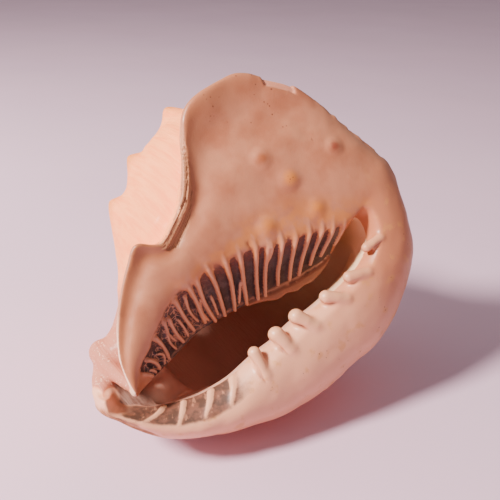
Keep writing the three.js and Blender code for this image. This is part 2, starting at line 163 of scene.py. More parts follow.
# Thin edge between the shield's tip and the canal's outside
CANAL_EDGE = [(2, 10, -40, 9), (0, 2, -29, 6.5), (1, -7, -19, 5), (2, -14, -10, 3.5), (1, -17, -5, 2)]

# Rounded end of the lip beside the canal, and the canal's floor that rises to it
LIP_END = [(-4, 3, -42, 5.5), (-8, -2, -35, 7), (-12, -7, -29, 7), (-15, -12, -25, 6)]
CANAL_FLOOR = [
    (-6, -4, -38, 6.5), (-8, -11, -33, 7.5), (-8, -18, -31, 8), (-2, -27, -30, 8.5), (8, -33, -37, 9),
    (18, -35, -50, 9),
]

# Teeth of the lip: station of the tip, station where the root fades, section place of the root, radius
TEETH = [
    (21.2, 20.9, 0.8, 3.4), (22.6, 22.3, 0.85, 4.0), (23.6, 23.4, 0.95, 4.7), (24.8, 24.7, 1.1, 5.3),
    (25.9, 25.9, 1.14, 5.3), (27.0, 27.1, 1.14, 4.3), (27.9, 28.4, 0.98, 2.3), (28.7, 29.2, 0.98, 2.1),
    (29.9, 30.1, 0.98, 1.7), (30.8, 31.5, 0.98, 1.6),
]
TOOTH_OVERHANG = 9.5
# Five places along a tooth from its nose outward, as shares of its radius: its size, and its depth in the lip
TOOTH_SIZES = np.array([1, 0.88, 0.74, 0.54, 0.34])
TOOTH_SUNK = np.array([0.6, 0.45, 0.5, 0.6, 0.8])
# Teeth under this radius follow the lip's slope and have no groove; places along them, and their start
LEAST_GROOVED = 3.2
SMALL_TOOTH_SHARES = (0, 0.25, 0.5, 0.8, 1)
SMALL_TOOTH_START = 0.1
# Groove beside a tooth at its first four places, as shares of the tooth's radius: size, rise, distance
GROOVE_SIZES = np.array([0.16, 0.16, 0.144, 0.096])
GROOVE_RISE = np.array([0, 0.2, 0.3, 0.4])
GROOVE_BESIDE, GROOVE_APART = 0.88, 0.14
GROOVE_DEPTH = 1.3

# Folds beside the mouth: station and section place of the lower end, then of the upper end
FOLDS = [
    (1.4, 0.1, 1.2, 0.7), (1.9, 0.1, 1.9, 0.8), (2.5, 0.1, 2.7, 0.9), (3.6, 0.1, 3.7, 0.8),
    (4.5, 0.1, 4.6, 0.9), (5.6, 0.1, 5.9, 1), (6.4, 0, 6.5, 1), (7, 0, 7.2, 1.05), (7.5, 0, 8, 1.05),
    (8.1, 0, 8.9, 1.05), (8.8, 0, 10, 1.05), (9.3, 0, 10.8, 1.05), (10.4, 0.1, 11.7, 1.05),
    (11.4, 0.1, 12.6, 1.05), (12.3, 0.1, 13.6, 1.05), (13.5, 0.2, 14.6, 1.05), (14.7, 0.3, 15.5, 1.05),
    (16.4, 0.3, 16.5, 1),
]
# Thinner folds between them
SMALL_FOLDS = [
    (1.65, 0.1, 1.55, 0.5), (2.2, 0.1, 2.3, 0.6), (3.05, 0.1, 3.2, 0.7), (3.3, 0.3, 3.45, 0.9),
    (4.05, 0.1, 4.1, 0.6), (5.05, 0.2, 5.25, 0.8), (6.0, 0.1, 6.15, 0.6), (6.7, 0.1, 6.8, 0.5),
    (7.8, 0.1, 8.3, 0.5), (10.1, 0.6, 10.9, 1.05),
]
SMALL_FOLD_SHARE = 0.6
FOLD_RADIUS = 1.3
# Places along a fold, and the share of its length they reach
FOLD_PLACES, FOLD_REACH = 9, 1.05
# Share of a fold's length, and there its share of the radius or its lift above the face
FOLD_SIZES = [(0, 0.8), (0.15, 1), (0.7, 1), (1.05, 0.9)]
FOLD_LIFTS = [(0, 0.9), (0.5, 0.9), (0.85, 0.2), (1.05, -1.3)]
# Station of the lower end and share of the radius: the folds are thinner towards the canal
FOLD_THINNING = [(1, 0.72), (7, 1)]
FOLD_WANDER, SMALL_FOLD_WANDER = 0.14, 0.2

# Dark floor between the folds: depth, stations where it fades in and out, and its upper edge's place across
BETWEEN_FOLDS = 1.9
BETWEEN_SPAN = (1.1, 1.6, 15.8, 16.6)
BETWEEN_TOP = 1.03

# Ledge under the upper folds: station, and how far it stands out into the mouth
LEDGE = [
    (8.2, 0.5), (9.0, 2.6), (9.9, 5.4), (10.7, 4.4), (11.6, 6.4), (12.4, 5.2), (13.4, 6.2), (14.4, 4.4),
    (15.3, 2.6), (16, 0.5),
]
LEDGE_RADIUS = 1.1
LEDGE_SHARES = (0.2, 0.45, 0.7, 0.9)

# Knobs that show through the shield: x, y, half width, and how yellow rather than red each is
SHIELD_KNOBS = [(151, 49, 7, 0.25), (197, 26, 6.5, 0), (159, 28, 9, 1), (163, 2, 7, 0.85), (129, 13, 8, 0.75)]

# Worn, layered edge: station and width, and the stations where each stretch of it fades in and out
WORN_WIDTHS = [(5.8, 3), (6.6, 11), (8.4, 10), (9.3, 4.4), (10.2, 2.4), (30, 1), (31.5, 4.4), (33.5, 5)]
WORN_SPANS = ((5.7, 6.1, 9.6, 10.3), (30.2, 31, 33.1, 33.6))
WORN_REACH = (12, 14)
LAYER_WIDTH, LAYER_RISE, LAYER_SINK = 2.8, 0.7, 0.8
# Chip in the shield's upper rim and nicks beside it: stations, and distance from the rim
CHIP_SPAN, CHIP_WIDTH, CHIP_DEPTH = (13.84, 13.9, 14.88, 14.94), (5.4, 5.9), 1.5
NICK_SPAN, NICK_WIDTH, NICK_DEPTH = (15.6, 15.9, 18.4, 18.8), (0.5, 3), 1.1

# Distances over which one part of the skin gives way to the next
NEAR_FACE = (3.0, 4.5)
NEAR_BARS = (0.2, 1.4)
NEAR_HOLLOW = (0.8, 2.6)
UNDER_EDGE, UNDER_EDGE_PLACE, UNDER_EDGE_REACH = (0.5, 1.5), (0.0, 0.06), 12
# Places along the axis where the canal, its snout and the far end of the hollow fade
CANAL_FADE, SNOUT_FADE, FAR_END_FADE = (2, 13), (26, 42), (105, 165)
STAINED_SLOPE_SPAN, STAINED_SLOPE_TOP = (27.2, 28.4, 31.8, 33.2), (0.7, 1.1)

# Softness of the seams
SOFT = {
    "snout": 3, "canal outside": 2.5, "hollow": 6, "mouth": 1.5, "face": 2, "canal groove": 5,
    "canal edge": 1.5, "lip end": 4, "canal floor": 4, "ledge": 0.8, "folds": 0.7, "knobs": 5,
}
TOOTH_SOFT, TOOTH_SOFT_SHARE = 1, 0.4
BAR_MARGIN = 6.0

# Rest and view, all in the shell's own frame
REST_DOWN = (-0.4653, -0.7584, -0.4565)
REST_FRONT = (-0.254, 0.134, 0.958)
CAMERA_PLACE = (0.7, 65.6, 414.0)
CAMERA_RIGHT = (0.7517, -0.5960, 0.2824)
CAMERA_UP = (0.6087, 0.7918, 0.0504)
VIEW_ANGLE = 40.0

# Colours, as red, green and blue from 0 to 255
BODY_LIGHT, BODY_DEEP = (255, 150, 88), (248, 134, 74)
SHIELD_LIGHT, SHIELD_DEEP = (186, 120, 88), (166, 98, 68)
SHIELD_TAN = (160, 94, 58)
LIP_LIGHT, LIP_DEEP = (226, 158, 124), (190, 114, 78)
LIP_YELLOW = (206, 138, 76)
TOOTH = (222, 158, 120)
FOLD = (194, 132, 104)
STAIN_DARK, STAIN_GREY, STAIN_ORANGE = (46, 20, 18), (70, 50, 50), (128, 52, 26)
STAIN_MAROON = (84, 30, 22)
THREAD = (190, 126, 96)
# The second colour on the next line is painted shade, a darker brown laid in the grooves beside the larger
# teeth
TOOTH_STAIN, TOOTH_GROOVE_SHADE = (46, 30, 28), (138, 70, 44)
STAIN_PINK = (106, 62, 50)
INSIDE_DEEP, INSIDE_LIGHT = (206, 144, 126), (226, 168, 142)
INSIDE_TAN = (250, 206, 160)
CANAL_GREY = (140, 98, 84)
LEDGE_BROWN = (132, 74, 48)
KNOB_RED, KNOB_YELLOW = (126, 50, 32), (200, 118, 46)
BODY_KNOB = (214, 124, 54)
LAYERED_EDGE, LAYERED_LIGHT = (142, 86, 54), (200, 134, 92)
CHIP = (208, 136, 108)
SNOUT_PINK, SNOUT_SPECK = (172, 104, 84), (232, 184, 158)
TIP_EDGE = (250, 200, 172)
PIT = (92, 44, 26)
FLOOR, FLOOR_CLOUD = (224, 186, 206), (212, 174, 194)
SKY = (246, 240, 240)

# Finish of the shell, and the depths of its fine relief in metres
FINISH = {
    "Coat Weight": 0.04, "Coat Roughness": 0.15, "Subsurface Weight": 0.08,
    "Subsurface Radius": (1.0, 0.5, 0.3), "Subsurface Scale": 0.002,
}
THREAD_DEPTH, GRAIN_DEPTH = 0.0006, 0.0003
FLOOR_SIZE, FLOOR_ROUGHNESS = 8, 0.75

# Lights: place, size, power and colour, and the strength of the sky
KEY_LIGHT = ((-1.43, -0.83, 1.45), 0.42, 150, (1.0, 0.96, 0.91))
FILL_LIGHT = ((-1.3, 0.2, 0.5), 1.0, 10, (1.0, 0.95, 0.9))
LIGHT_AIM = (0, 0, 0.1)
SKY_STRENGTH = 0.42

SEED = 7
NOISE_BLOCK = (32, 32, 32)

# Working grid: size of a cell, lowest corner, number of cells, and how far from a skin it holds distances
VOXEL = 1.0
GRID_LOW = np.array([-34.0, -116.0, -166.0])
GRID_SIZE = (276, 244, 192)
FIELD_REACH = 9.0
TRIANGLE_LIMIT = 190000


def hermite(keys, values, at):
    """Values between sorted keys, running smoothly through each of them."""
    keys = np.asarray(keys, float)
    values = np.asarray(values, float)
    slopes = np.gradient(values, keys, axis=0)
    at = np.clip(np.asarray(at, float), keys[0], keys[-1])
    left = np.clip(np.searchsorted(keys, at, side="right") - 1, 0, len(keys) - 2)
    gap = keys[left + 1] - keys[left]
    share = (at - keys[left]) / gap
    if values.ndim > 1:
        share = share[..., None]
        gap = gap[..., None]
    square = share * share
    cube = square * share
    return (
        values[left] * (2 * cube - 3 * square + 1)
        + values[left + 1] * (3 * square - 2 * cube)
        + slopes[left] * gap * (cube - 2 * square + share)
        + slopes[left + 1] * gap * (cube - square)
    )


def keyed(table, at):
    """The columns beside a key in the table's first column, in straight runs between its rows."""
    rows = np.asarray(table, float)
    return [np.interp(at, rows[:, 0], rows[:, column]) for column in range(1, rows.shape[1])]


def smoothstep(value, low, high):
    share = np.clip((value - low) / (high - low), 0, 1)
    return share * share * (3 - 2 * share)


def fade(value, low, high):
    """1 below low and 0 above high."""
    return 1 - smoothstep(value, low, high)


def band(value, start, full, end, gone):
    """1 between full and end, and 0 before start and past gone."""
    return smoothstep(value, start, full) * fade(value, end, gone)


def whorl_scale(turns):
    """Size of the coil a number of turns back from the lip."""
    turns = np.asarray(turns, float)
    flare = LAST_WHORL_SHRINK + (1 - LAST_WHORL_SHRINK) * smoothstep(turns, 0, LIP_FLARE_TURN)
    share = (turns - LIP_FLARE_TURN) / (1 - LIP_FLARE_TURN)
    last = 1 + (LAST_WHORL_SHRINK - 1) * share
    earlier = LAST_WHORL_SHRINK * WHORL_RATIO ** (turns - 1)
    return np.where(turns >= 1, earlier, np.where(turns < LIP_FLARE_TURN, flare, last))


def turns_back(angle):
    return ((LIP_ANGLE - angle) % 360) / 360


def coil_radius(angle, x):
    """Outer radius of the coil at angles round the axis and places along it, without its knobs."""
    keys = [row[0] for row in WHORL_OUTLINE]
    radii = [row[1] for row in WHORL_OUTLINE]
    radius = np.full(np.broadcast(angle, x).shape, 2.0)
    for whorl in range(WHORLS + 1):
        scale = whorl_scale(turns_back(angle) + whorl)
        from_apex = (APEX_X - x) / scale
        outer = np.where(from_apex >= keys[0], scale * hermite(keys, radii, from_apex), 0)
        radius = np.maximum(radius, outer)
    turn = 90 + (angle - 90) % 360
    wall, end = keyed(LIP_WALL, x)
    opened = band(turn, LIP_WALL_START, LIP_WALL_FULL, end, end + LIP_WALL_FADE)
    return radius + (np.maximum(radius, wall) - radius) * opened


def knob_height(angle, x, radius):
    """How far the knobs raise the coil's surface."""
    height = np.zeros_like(radius)
    for from_apex, first, step, count, width, rise in KNOB_ROWS:
        for i in range(count):
            at = first + step * i
            scale = float(whorl_scale(turns_back(at)))
            along = x - (APEX_X - scale * from_apex)
            apart = (angle - at + 180) % 360 - 180
            around = np.radians(apart) * radius * 0.9
            reach = np.hypot(along, around * 0.8) / (width * scale * 1.25)
            bump = np.clip(1 - reach, 0, 1)
            height = np.maximum(height, rise * scale * bump * bump * (3 - 2 * bump) * (0.55 + 0.45 * bump))
    return height


def around_axis(angle, radius, x):
    turn = np.radians(angle)
    x = np.broadcast_to(x, radius.shape)
    return np.stack([x, AXIS_Y + radius * np.sin(turn), AXIS_Z + FLATTEN * radius * np.cos(turn)], -1)


def body_rings():
    x = np.concatenate([np.linspace(*places) for places in BODY_PLACES])[:, None]
    angle = -np.arange(BODY_POINTS)[None, :] * (360 / BODY_POINTS)
    radius = coil_radius(angle, x)
    radius = radius + knob_height(angle % 360, x, radius)
    rings = around_axis(angle, radius, x)
    rings[..., 2] = np.minimum(rings[..., 2], BEHIND_FACE)
    return rings


def all_stations():
    return np.linspace(0, len(RIM) - 1, (len(RIM) - 1) * STATION_STEPS + 1)


def face_sections(station):
    """Sections of the face at an array of stations, and the place across of each of their points."""
    index = np.arange(len(RIM))
    rim = hermite(index, RIM, station)
    inner = hermite(index, MOUTH_EDGE, station)
    depth, edge, slope, shield = keyed(PLATE, station)
    points = np.linspace(0, len(SHIELD_SECTION) - 1, (len(SHIELD_SECTION) - 1) * SECTION_STEPS + 1)
    order = np.arange(len(SHIELD_SECTION))
    share = shield[:, None, None]
    section = hermite(order, LIP_SECTION, points)[None] * (1 - share)
    section = section + hermite(order, SHIELD_SECTION, points)[None] * share
    place, from_inner, from_rim, added, edge_share, below = np.moveaxis(section, -1, 0)
    slope, depth, edge = slope[:, None], depth[:, None], edge[:, None]
    across = np.where(place < 1, place * slope, slope + (place - 1) * (1 - slope))[..., None]
    flat = inner[:, None, :2] * (1 - across) + rim[:, None, :2] * across
    height = (
        from_inner * inner[:, None, 2]
        + from_rim * rim[:, None, 2]
        + added * np.minimum(1, depth / 20)
        - edge_share * edge
        - below * depth
    )
    return np.concatenate([flat, height[..., None]], -1), place


def face_point(station, place):
    """A point of the face's upper side, at a place from 0 at the mouth's edge to 2 at the rim."""
    sections, places = face_sections(np.array([float(station)]))
    top = slice(0, TOP_POINTS * SECTION_STEPS + 1)
    return np.array([np.interp(place, places[0, top], sections[0, top, k]) for k in range(3)])


def mouth_rings(face):
    """What is cut away above the mouth and down its sides, as rings from the top down."""
    crest = face[:, CREST_POINT * SECTION_STEPS]
    edge = face[:, 0]
    middle = (face[:, SECTION_STEPS] + edge) / 2
    floor = MOUTH_FLOOR_LEAST - MOUTH_FLOOR_SLOPE * np.maximum(0, edge[:, 0] + 10)
    floor = np.minimum(edge[:, 2] - 8, np.maximum(MOUTH_FLOOR_MOST, floor))

    def level(points, height):
        return np.concatenate([points[:, :2], np.broadcast_to(height, len(points))[:, None]], -1)

    return np.stack(
        [
            level(crest, MOUTH_TOP),
            level(crest, np.maximum(crest[:, 2], -2) - 1),
            level(middle, middle[:, 2] - 3),
            level(edge, floor),
        ]
    )


def hollow_rings():
    """Rings of the hollow: out along the wall, whose thickness it keeps, and back along the pillar."""
    share = np.linspace(-1, 1, HOLLOW_STATIONS)
    x = HOLLOW_X[0] + (HOLLOW_X[1] - HOLLOW_X[0]) * (np.sin(share * math.pi / 2) + 1) / 2
    roundness = np.sqrt(np.maximum(0, 1 - share**4))
    fullness = (HOLLOW_END_SHARE + (1 - HOLLOW_END_SHARE) * roundness)[:, None]
    outer_angle = np.linspace(HOLLOW_ANGLES[1], HOLLOW_ANGLES[0], HOLLOW_ARC + 1)[None]
    inner_angle = np.linspace(HOLLOW_ANGLES[0], HOLLOW_ANGLES[1], PILLAR_ARC + 1)[None]
    nearby = [coil_radius(outer_angle, x[:, None] + along) for along in np.linspace(-WALL, WALL, 9)]
    reach = np.maximum(PILLAR + PILLAR_GAP, np.min(nearby, axis=0) - WALL)
    outer = around_axis(outer_angle, PILLAR + (reach - PILLAR) * fullness, x[:, None])
    inner = around_axis(inner_angle, PILLAR - PILLAR_WAIST * fullness + 0 * inner_angle, x[:, None])
    return np.concatenate([outer, inner], 1)


def field_of_rings(rings):
    """Signed distance to the closed skin through a row of rings, negative inside."""
    count, around = rings.shape[:2]
    points = rings.reshape(-1, 3)
    ends = rings[[0, -1]].mean(1)
    points = np.concatenate([points, ends]).astype(np.float32)
    i, j = np.meshgrid(np.arange(count - 1), np.arange(around), indexing="ij")
    after = (j + 1) % around
    quads = np.stack([i * around + j, i * around + after, (i + 1) * around + after, (i + 1) * around + j], -1)
    j = np.arange(around)
    after = (j + 1) % around
    last = (count - 1) * around
    first_cap = np.stack([np.full(around, count * around), after, j], -1)
    last_cap = np.stack([np.full(around, count * around + 1), last + j, last + after], -1)
    grid = openvdb.FloatGrid.createLevelSetFromPolygons(
        points - GRID_LOW.astype(np.float32),
        triangles=np.concatenate([first_cap, last_cap]).astype(np.int32),
        quads=quads.reshape(-1, 4).astype(np.int32),
        transform=openvdb.createLinearTransform(VOXEL),
        halfWidth=FIELD_REACH / VOXEL,
    )
    field = np.empty(GRID_SIZE, np.float32)
    grid.copyToArray(field, ijk=(0, 0, 0))
    return field


def soft_join(a, b, soft):
    share = np.clip(0.5 + 0.5 * (b - a) / soft, 0, 1)
    return b + (a - b) * share - soft * share * (1 - share)


def soft_cut(a, b, soft):
    return -soft_join(-a, b, soft)


def window(points, margin):
    """The block of the grid around some points, and the places of its cells."""
    low = np.clip(np.floor((points.min(0) - margin - GRID_LOW) / VOXEL).astype(int), 0, GRID_SIZE)
    high = np.clip(np.ceil((points.max(0) + margin - GRID_LOW) / VOXEL).astype(int) + 1, 0, GRID_SIZE)
    block = tuple(slice(a, b) for a, b in zip(low, high))
    axes = [GRID_LOW[k] + VOXEL * np.arange(low[k], high[k]) for k in range(3)]
    return block, np.stack(np.meshgrid(*axes, indexing="ij"), -1).astype(np.float32)


def bar_distance(places, rows):
    """Distance from places to a round bar through rows of x, y, z and radius."""
    rows = np.asarray(rows, np.float32)
    distance = None
    for start, end in zip(rows[:-1], rows[1:]):
        along = end[:3] - start[:3]
        share = np.clip(((places - start[:3]) @ along) / max(float(along @ along), 1e-6), 0, 1)
        gap = np.linalg.norm(places - start[:3] - share[..., None] * along, axis=-1)
        gap = gap - (start[3] + (end[3] - start[3]) * share)
        distance = gap if distance is None else np.minimum(distance, gap)
    return distance


def smooth_rows(rows, steps):
    index = np.arange(len(rows))
    return hermite(index, rows, np.linspace(0, len(rows) - 1, (len(rows) - 1) * steps + 1))


def add_bar(field, rows, soft, join=soft_join):
    """Joins a round bar to the shape, or takes it away if join is soft_cut."""
    rows = np.asarray(rows, float)
    block, places = window(rows[:, :3], rows[:, 3].max() + soft + BAR_MARGIN)
    field[block] = join(field[block], bar_distance(places, rows), soft)


def smoothed(field, times):
    for _ in range(times):
        for axis in range(3):
            middle = np.moveaxis(field, axis, 0)
            middle[1:-1] = (middle[:-2] + 2 * middle[1:-1] + middle[2:]) / 4
    return field


def tooth_rows(tip, root, root_place, radius):
    """A tooth's ridge from its nose outward, and the groove along its canal side."""
    edge = face_point(tip, 0.35)
    crest = face_point(tip + (root - tip) * 0.35, 1)
    out = edge - crest
    out[2] = 0
    out /= np.linalg.norm(out)
    if radius > LEAST_GROOVED:
        nose = edge + out * (TOOTH_OVERHANG - radius * 0.5)
        end = face_point(root, root_place)
        line = np.array([nose, nose * 0.5 + crest * 0.5, crest, crest * 0.5 + end * 0.5, end])
        line[:3, 2] = crest[2]
    else:
        places = [SMALL_TOOTH_START + (root_place - SMALL_TOOTH_START) * k for k in SMALL_TOOTH_SHARES]
        line = [face_point(tip + (root - tip) * k, place) for k, place in zip(SMALL_TOOTH_SHARES, places)]
    sunk = radius * TOOTH_SUNK[:, None]
    ridge = np.concatenate([line - [0, 0, 1] * sunk, radius * TOOTH_SIZES[:, None]], 1)
    along = face_point(tip + 0.3, 0.5) - face_point(tip - 0.3, 0.5)
    along /= np.linalg.norm(along)
    groove = ridge[:4].copy()
    groove[:, :3] += along * (groove[:, 3:] * GROOVE_BESIDE + radius * GROOVE_APART)
    groove[:, 2] += radius * GROOVE_RISE
    groove[:, 3] = radius * GROOVE_SIZES
    return ridge, groove


def fold_rows(low, low_place, high, high_place, wander):
    """A fold from the mouth's edge up to the crest, with a slight bend of its own."""
    shares = np.linspace(0, FOLD_REACH, FOLD_PLACES)
    sizes = keyed(FOLD_SIZES, shares)[0] * keyed(FOLD_THINNING, low)[0]
    lifts = keyed(FOLD_LIFTS, shares)[0]
    rows = []
    for share, size, lift in zip(shares, sizes, lifts):
        station = low + (high - low) * share + wander * math.sin(share * math.pi)
        x, y, z = face_point(station, low_place + (high_place - low_place) * share)
        rows.append([x, y, z + lift, FOLD_RADIUS * size])
    return np.array(rows)


def ledge_rows(share):
    """The ledge's line at a share of the way out from the mouth's edge."""
    rows = []
    for station, out in LEDGE:
        edge, inland = face_point(station, 0), face_point(station, 1)
        away = edge - inland
        away[2] = 0
        away /= np.linalg.norm(away)
        x, y, z = edge + away * out * share
        rows.append([x, y, z - 0.4 - share, LEDGE_RADIUS])
    return smooth_rows(rows, 3)


def relief_rows():
    """Rows of every fold, small ones between the lower ones included, of every tooth and of its groove."""
    rng = np.random.default_rng(SEED)
    folds = [fold_rows(*fold, rng.uniform(-FOLD_WANDER, FOLD_WANDER)) for fold in FOLDS]
    for low, low_place, high, high_place in SMALL_FOLDS:
        wander = rng.uniform(-SMALL_FOLD_WANDER, SMALL_FOLD_WANDER)
        rows = fold_rows(low, low_place, high, high_place, wander)
        rows[:, 3] *= SMALL_FOLD_SHARE
        folds.append(rows)
    teeth = [tooth_rows(*tooth) for tooth in TEETH]
    grooves = [groove for (_, groove), tooth in zip(teeth, TEETH) if tooth[3] > LEAST_GROOVED]
    return folds, [ridge for ridge, _ in teeth], grooves


def add_relief(field, folds, teeth):
    """Joins the ledge, the folds, the teeth and the shield's knobs to the shell."""
    for share in LEDGE_SHARES:
        add_bar(field, ledge_rows(share), SOFT["ledge"])
    for rows in folds:
        add_bar(field, rows, SOFT["folds"])
    for rows in teeth:
        add_bar(field, rows, TOOTH_SOFT + rows[0, 3] * TOOTH_SOFT_SHARE)
    for x, y, width, _ in SHIELD_KNOBS:
        top, radius = face_height(x, y), width * 0.8
        add_bar(field, [[x, y, top - width * 0.72, radius], [x, y, top - width * 0.7, radius]], SOFT["knobs"])


def shell_fields(folds, teeth):
    """The whole shell's distance field, and the field of its hollow."""
    face, _ = face_sections(all_stations())
    field = field_of_rings(body_rings())
    add_bar(field, smooth_rows(SNOUT, 2), SOFT["snout"])
    add_bar(field, smooth_rows(CANAL_OUTSIDE, 2), SOFT["canal outside"])
    hollow = field_of_rings(hollow_rings())
    field = soft_cut(field, hollow, SOFT["hollow"])
    mouth = field_of_rings(mouth_rings(face))
    field = soft_cut(field, mouth, SOFT["mouth"])
    field = soft_join(field, field_of_rings(face), SOFT["face"])
    groove, canal_floor = smooth_rows(CANAL_GROOVE, 3), smooth_rows(CANAL_FLOOR, 3)
    add_bar(field, groove, SOFT["canal groove"], soft_cut)
    add_bar(field, smooth_rows(CANAL_EDGE, 3), SOFT["canal edge"])
    add_bar(field, smooth_rows(LIP_END, 3), SOFT["lip end"])
    add_bar(field, canal_floor, SOFT["canal floor"])
    field = smoothed(field, 1)
    add_relief(field, folds, teeth)
    inner = np.minimum(hollow, mouth)
    block, places = window(groove[:, :3], 20)
    for rows in (groove, canal_floor):
        inner[block] = np.minimum(inner[block], bar_distance(places, rows))
    return field, inner


def face_height(x, y):
    """Height of the face's upper side over a point of the shell's plane."""
    face, _ = face_sections(all_stations())
    top = face[:, : TOP_POINTS * SECTION_STEPS].reshape(-1, 3)
    return float(top[np.argmin(np.hypot(top[:, 0] - x, top[:, 1] - y)), 2])


def blended(cells, low, share):
    """Values in between the eight cells round each place, which repeat past the block's end."""
    total = 0
    for corner in np.ndindex(2, 2, 2):
        weight = np.prod(np.where(corner, share, 1 - share), axis=1)
        total = total + weight * cells[tuple(((low + corner) % cells.shape).T)]
    return total


def sampled(field, places):
    """Values of a field at rows of places."""
    at = np.clip((places - GRID_LOW) / VOXEL, 0, np.array(GRID_SIZE) - 1.001)
    low = at.astype(int)
    return blended(field, low, at - low)


def normals_of(field, places):
    steps = np.eye(3) * VOXEL
    slope = np.stack([sampled(field, places + step) - sampled(field, places - step) for step in steps], -1)
    return slope / np.maximum(np.linalg.norm(slope, axis=1, keepdims=True), 1e-6)


def noise(places, size, seed):
    """Smooth random values from -1 to 1 that change over a distance, at rows of places."""
    table = np.random.default_rng(SEED + seed).uniform(-1, 1, NOISE_BLOCK)
    at = places / size
    low = np.floor(at).astype(int)
    return blended(table, low, smoothstep(at - low, 0, 1))


class Places:
    """Where rows of points lie on the shell: round its coil, on its face and beside its folds and teeth."""

    def __init__(self, points, inner, folds, teeth, grooves):
        self.points = points
        away = points[:, 1:] - [AXIS_Y, AXIS_Z]
        self.turn = np.arctan2(away[:, 0], away[:, 1] / FLATTEN)
        self.station, self.place, self.to_face = nearest_face(points)
        rim = hermite(np.arange(len(RIM)), RIM, self.station)
        self.rim_gap = np.linalg.norm(points[:, :2] - rim[:, :2], axis=1)
        self.across_rim = self.rim_gap + 0.8 * np.maximum(0, rim[:, 2] - points[:, 2])
        self.lip = 1 - keyed(PLATE, self.station)[3]
        self.fold_gap = bars_gap(points, folds)
        self.tooth_gap = bars_gap(points, teeth)
        self.groove_gap = bars_gap(points, grooves)
        under_edge = smoothstep(self.to_face, *UNDER_EDGE) * fade(self.place, *UNDER_EDGE_PLACE)
        on_face = fade(self.to_face, *NEAR_FACE) * (1 - under_edge)
        on_bars = fade(np.minimum(self.fold_gap, self.tooth_gap), *NEAR_BARS)
        self.plate = np.maximum(on_face, on_bars)
        in_hollow = fade(sampled(inner, points), *NEAR_HOLLOW)
        self.inside = np.maximum(in_hollow, under_edge * (self.to_face < UNDER_EDGE_REACH))
        self.inside = self.inside * (1 - self.plate)

    def flow(self, around):
        """Coordinates that run along the axis and round the coil, with no seam."""
        return np.stack([self.points[:, 0], around * np.cos(self.turn), around * np.sin(self.turn)], -1)


def nearest_face(points):
    """Station and place across of the nearest point of the face's upper side, and how far off it is."""
    stations = all_stations()
    face, places = face_sections(stations)
    top = face[:, : SIDE_POINTS * SECTION_STEPS + 1]
    tree = KDTree(top.shape[0] * top.shape[1])
    for index, point in enumerate(top.reshape(-1, 3)):
        tree.insert(point, index)
    tree.balance()
    found = np.array([tree.find(point)[1] for point in points])
    i, j = np.unravel_index(found, top.shape[:2])
    gap = points - top[i, j]
    along, across = np.gradient(top, axis=0)[i, j], np.gradient(top, axis=1)[i, j]
    squares = [np.sum(a * b, axis=1) for a, b in ((along, along), (along, across), (across, across))]
    to_along, to_across = np.sum(gap * along, axis=1), np.sum(gap * across, axis=1)
    area = np.maximum(squares[0] * squares[2] - squares[1] ** 2, 1e-6)
    station_steps = np.clip((to_along * squares[2] - to_across * squares[1]) / area, -0.6, 0.6)
    place_steps = np.clip((to_across * squares[0] - to_along * squares[1]) / area, -0.6, 0.6)
    off = np.linalg.norm(gap - along * station_steps[:, None] - across * place_steps[:, None], axis=1)
    station = stations[i] + station_steps / STATION_STEPS
    place = places[i, j] + place_steps * np.gradient(places, axis=1)[i, j]
    return np.clip(station, 0, len(RIM) - 1), np.clip(place, 0, 2), off


def bars_gap(points, bars):
    """Distance from the nearest of several bars' skins."""
    gap = np.full(len(points), 99.0)
    for rows in bars:
        low, high = rows[:, :3].min(0) - 14, rows[:, :3].max(0) + 14
        near = np.all((points > low) & (points < high), axis=1)
        gap[near] = np.minimum(gap[near], bar_distance(points[near], rows))
    return gap


def worn_edge(at):
    """Where the worn, layered edges of the shield and of the lip's end lie."""
    width = keyed(WORN_WIDTHS, at.station)[0] + noise(at.points, 7, 32) * 1.5
    shown = np.maximum(*[band(at.station, *span) for span in WORN_SPANS])
    shown = shown * fade(at.rim_gap, width - 0.7, width + 0.7)
    return shown * fade(at.to_face, *WORN_REACH) * (1 - at.inside)


def chipped_rim(at):
    ragged = noise(at.points, 5, 31) * 0.4
    along = band(at.station, *CHIP_SPAN)
    return (at.to_face < 8) * along * fade(at.rim_gap + ragged, *CHIP_WIDTH)


def between_folds(at):
    """Share of the way down to the dark floor between the folds."""
    top = BETWEEN_TOP + noise(at.points, 4, 33) * 0.05 + noise(at.points, 11, 35) * 0.06
    zone = fade(at.place, top - 0.18, top + 0.04) * band(at.station, *BETWEEN_SPAN)
    return zone * (1 - at.lip) * (at.to_face < 4)


def tooth_groove(at):
    """Share of the way down into the grooves beside the larger teeth, also painted darker there as shade."""
    return at.lip * fade(at.groove_gap, -0.4, 1.2)


def growth_lines(at):
    """Low waves round the coil where the shell stopped growing, and finer threads along it."""
    growth = noise(at.flow(120) * [0.15, 1, 1], 9, 1) * 0.3
    threads = noise(at.flow(60) * [1, 0.25, 0.25], 4.2, 2) * 0.42
    threads = threads + noise(at.flow(60) * [1, 0.3, 0.3], 9, 3) * 0.6
    return growth + threads + noise(at.points, 12, 9) * 0.5


def ripples(at):
    """Soft unevenness of the glazed face, calmer towards the mouth."""
    waves = noise(at.points, 16, 4) * 0.7 + noise(at.points, 6, 5) * 0.22
    return waves * (0.35 + 0.65 * smoothstep(at.place, 1.0, 1.4))


def worn_layers(at):
    """Broken layers that run along the worn edge."""
    along_edge = np.stack([at.station * 1.4, at.across_rim, 0 * at.station], -1)
    layer = np.floor(noise(along_edge, 2.4, 6) * 1.2 + at.across_rim / LAYER_WIDTH)
    return layer % 3 * LAYER_RISE + noise(along_edge, 1.1, 7) * 0.4 - LAYER_SINK


